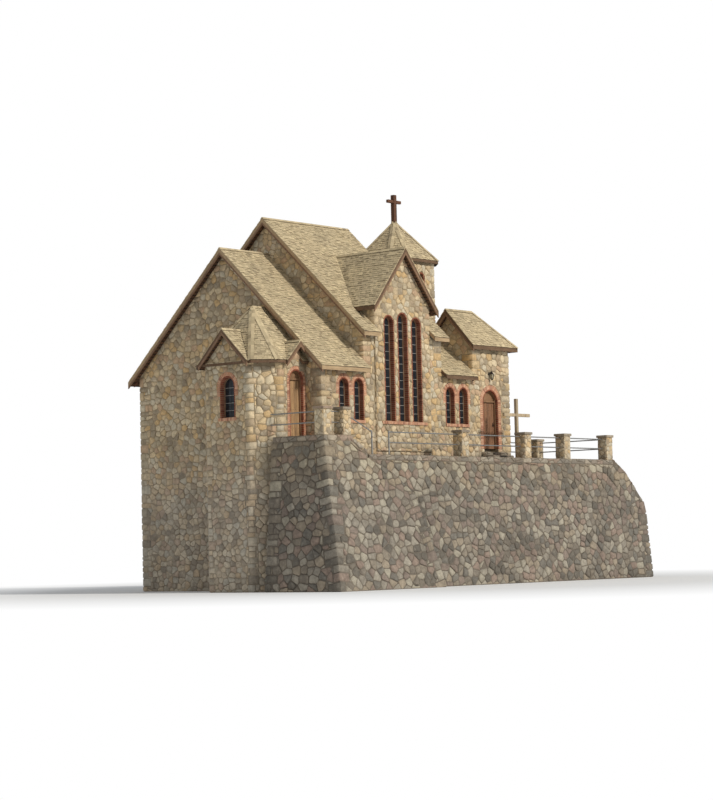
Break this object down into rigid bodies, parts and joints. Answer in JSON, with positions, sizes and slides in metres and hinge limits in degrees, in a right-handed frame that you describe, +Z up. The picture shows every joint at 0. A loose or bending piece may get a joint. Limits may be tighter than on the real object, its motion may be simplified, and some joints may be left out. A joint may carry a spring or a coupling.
{
  "type": "small chapel",
  "caption": "Stone chapel on a battered rubble base: stepped nave, cross gables, chamfered porch, tower with a cross, link, annex, railed terrace and doors that open.",
  "frame": {"origin": "middle of the outline at the base's underside", "axes": "+X along the nave from the porch to the annex, -Y towards the front with the doors, +Z up"},
  "size_m": [21.55, 13.0354, 16.26],
  "materials": {
    "fieldstone": "rough",
    "rubble": "rough",
    "paving": "rough",
    "brick": "matte",
    "roofing": "weathered",
    "dark_wood": "oiled",
    "door_wood": "oiled",
    "pale_wood": "weathered",
    "window_glass": "smooth",
    "ironwork": "matte",
    "rail_pipe": "weathered"
  },
  "bodies": {
    "chapel": {"nave_base": "rubble", "porch_base": "rubble", "annex_base": "rubble", "bastion": "rubble", "terrace_front_wall": "rubble", "terrace_end_wall": "rubble", "inner_floors": "paving", "outer_paving": "paving", "outer_steps": "paving", "low_end_wall": "fieldstone", "low_side_walls": "fieldstone", "crossing_wall": "fieldstone", "high_front_wall": "fieldstone", "high_back_wall": "fieldstone", "far_gable_wall": "fieldstone", "gable_cheeks": "fieldstone", "porch_walls": "fieldstone", "porch_door_piers": "fieldstone", "porch_door_head": "fieldstone", "tower_walls": "fieldstone", "tower_door_piers": "fieldstone", "link_front_wall": "fieldstone", "annex_walls": "fieldstone", "annex_door_piers": "fieldstone", "annex_door_head": "fieldstone", "low_roof": "roofing", "high_roof": "roofing", "cross_gable_roofs": "roofing", "porch_roof": "roofing", "porch_gable_roofs": "roofing", "tower_roof": "roofing", "link_roof": "roofing", "annex_roof": "roofing", "barge_boards": "dark_wood", "brick_sills": "brick", "window_frames": "dark_wood", "window_glass": "window_glass", "door_frames": "door_wood", "door_pintles": "ironwork", "rail_pillars": "rubble", "pipe_rails": "rail_pipe", "tower_cross": "dark_wood", "yard_cross": "pale_wood", "wall_lantern": "ironwork"},
    "porch_leaf": {"porch_door": "door_wood", "porch_door_straps": "ironwork"},
    "annex_leaf": {"annex_door": "door_wood", "annex_door_straps": "ironwork"}
  },
  "joints": [
    {"name": "porch_door_swing", "type": "hinge", "parent": "chapel", "child": "porch_leaf", "pos_m": [-8.417, -2.54825, 6.75], "axis": [0, 0, -1], "range_deg": [0, 95]},
    {"name": "annex_door_swing", "type": "hinge", "parent": "chapel", "child": "annex_leaf", "pos_m": [1.922, -3.33825, 6.5], "axis": [0, 0, 1], "range_deg": [0, 100]}
  ]
}
